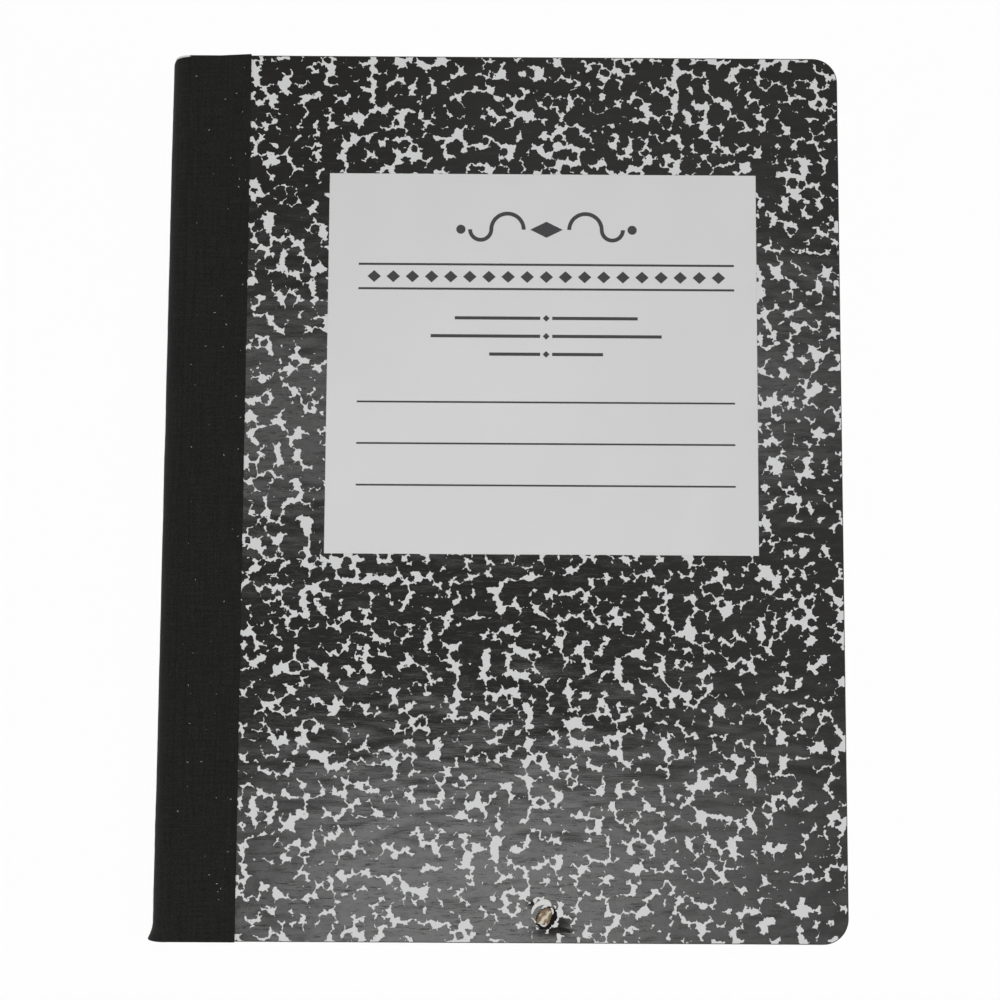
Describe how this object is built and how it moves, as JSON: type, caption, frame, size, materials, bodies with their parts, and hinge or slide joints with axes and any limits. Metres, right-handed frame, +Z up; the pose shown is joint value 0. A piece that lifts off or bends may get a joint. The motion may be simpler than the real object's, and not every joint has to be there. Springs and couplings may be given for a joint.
{
  "type": "composition notebook",
  "caption": "Closed sewn notebook with marbled card covers, a white label panel, rounded fore-edge corners and cloth tape round the spine; both covers open.",
  "frame": {"origin": "middle of the trimmed covers, on the surface that the notebook lies on", "axes": "+X from the spine to the fore-edge, +Y from the tail to the head, +Z up out of the front cover"},
  "size_m": [0.1916, 0.2482, 0.0108],
  "materials": {
    "leaves": "matte",
    "thread": "matte",
    "card": "satin",
    "marbled_ink": "satin",
    "label_ink": "satin",
    "tape": "matte"
  },
  "bodies": {
    "pages": {"page_block": "leaves", "sewing_thread": "thread", "spine_board": "card", "spine_tape": "tape"},
    "front_cover": {"front_board": "card", "front_print": "marbled_ink", "label_rules": "label_ink", "label_ornament": "label_ink", "front_tape_flap": "tape"},
    "back_cover": {"back_board": "card", "back_print": "marbled_ink", "back_tape_flap": "tape"}
  },
  "joints": [
    {"name": "front_cover_hinge", "type": "hinge", "parent": "pages", "child": "front_cover", "pos_m": [-0.08985, 0, 0.0109], "axis": [0, -1, 0], "range_deg": [0, 178]},
    {"name": "back_cover_hinge", "type": "hinge", "parent": "pages", "child": "back_cover", "pos_m": [-0.08985, 0, -0.0001], "axis": [0, 1, 0], "range_deg": [0, 178]}
  ]
}
